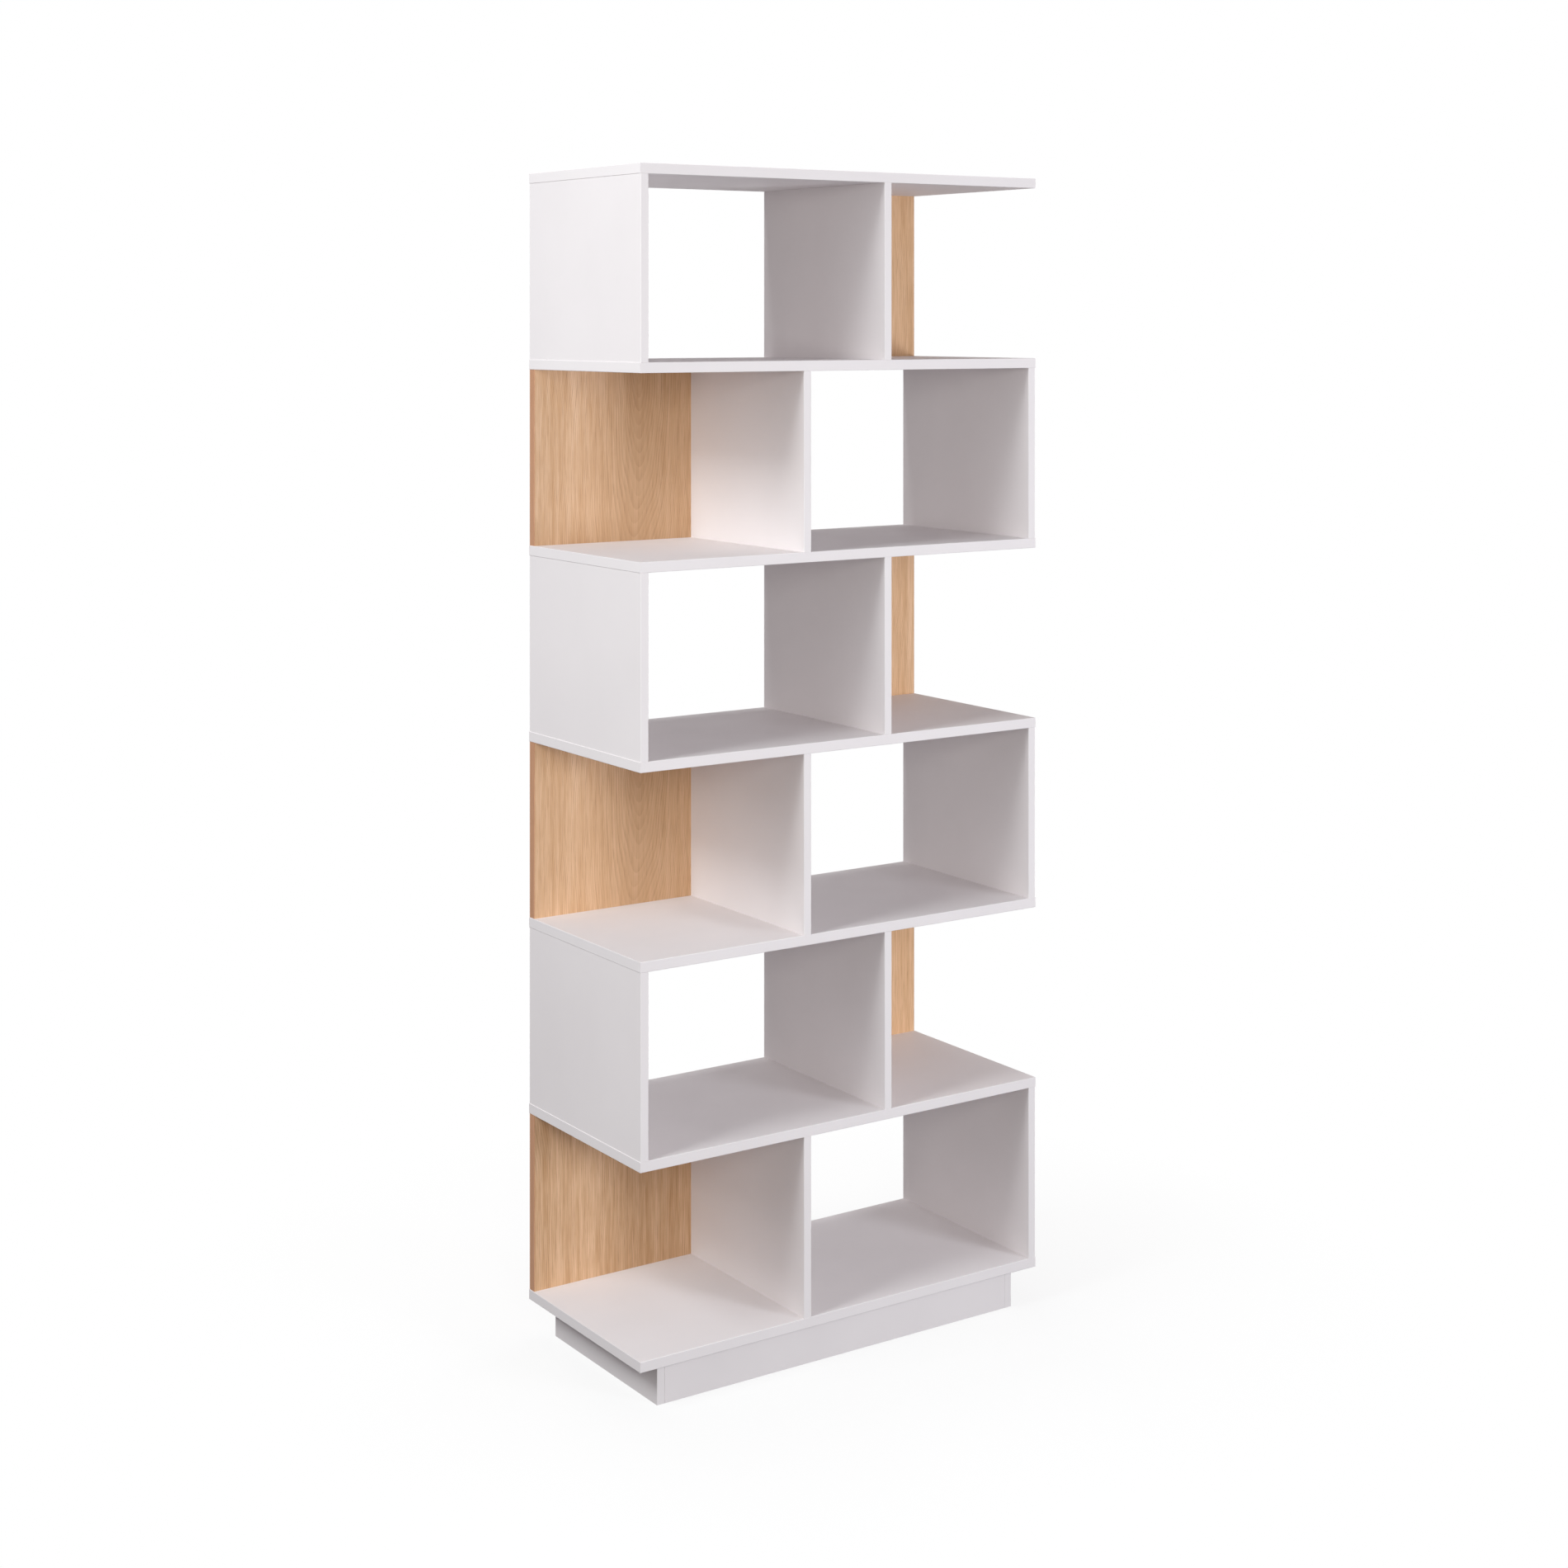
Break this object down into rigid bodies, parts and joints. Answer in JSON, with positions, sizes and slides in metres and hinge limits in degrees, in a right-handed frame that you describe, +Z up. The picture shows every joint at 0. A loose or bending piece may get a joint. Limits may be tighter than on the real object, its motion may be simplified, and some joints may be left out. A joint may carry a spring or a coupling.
{
  "type": "zigzag bookcase",
  "caption": "Tall free-standing bookcase of full-width white boards whose open boxes change ends tier by tier, with oak-backed open bays beside them.",
  "frame": {"origin": "on the floor, under the middle of the case", "axes": "+Z up, +X along the width to the right seen from the front, +Y to the back"},
  "size_m": [0.9, 0.41, 2.205],
  "materials": {
    "white_board": "white satin melamine on chipboard",
    "white_edging": "white satin edge band",
    "oak_veneer": "matt light oak, grain upright",
    "oak_edging": "matt oak edge band",
    "pine": "planed softwood",
    "beech": "plain beech",
    "zinc_steel": "bright zinc plate",
    "cast_zinc": "die-cast zinc"
  },
  "bodies": {
    "root": {"bottom_board": "white_board", "shelf_1": "white_board", "shelf_2": "white_board", "shelf_3": "white_board", "shelf_4": "white_board", "shelf_5": "white_board", "top_board": "white_board", "tier_1_side_panel": "white_board", "tier_1_divider": "white_board", "tier_2_side_panel": "white_board", "tier_2_divider": "white_board", "tier_3_side_panel": "white_board", "tier_3_divider": "white_board", "tier_4_side_panel": "white_board", "tier_4_divider": "white_board", "tier_5_side_panel": "white_board", "tier_5_divider": "white_board", "tier_6_side_panel": "white_board", "tier_6_divider": "white_board", "plinth_front_rail": "white_board", "plinth_rear_rail": "white_board", "plinth_left_rail": "white_board", "plinth_right_rail": "white_board", "tier_1_oak_back": "oak_veneer", "tier_2_oak_back": "oak_veneer", "tier_3_oak_back": "oak_veneer", "tier_4_oak_back": "oak_veneer", "tier_5_oak_back": "oak_veneer", "tier_6_oak_back": "oak_veneer", "bottom_board_edging": "white_edging", "shelf_1_edging": "white_edging", "shelf_2_edging": "white_edging", "shelf_3_edging": "white_edging", "shelf_4_edging": "white_edging", "shelf_5_edging": "white_edging", "top_board_edging": "white_edging", "side_panel_edging": "white_edging", "divider_edging": "white_edging", "plinth_edging": "white_edging", "oak_back_edging": "oak_edging", "plinth_corner_blocks": "pine", "corner_block_screws": "zinc_steel", "connecting_screws": "zinc_steel", "beech_dowels": "beech", "cam_housings": "cast_zinc", "cam_bolts": "zinc_steel"}
  },
  "joints": []
}
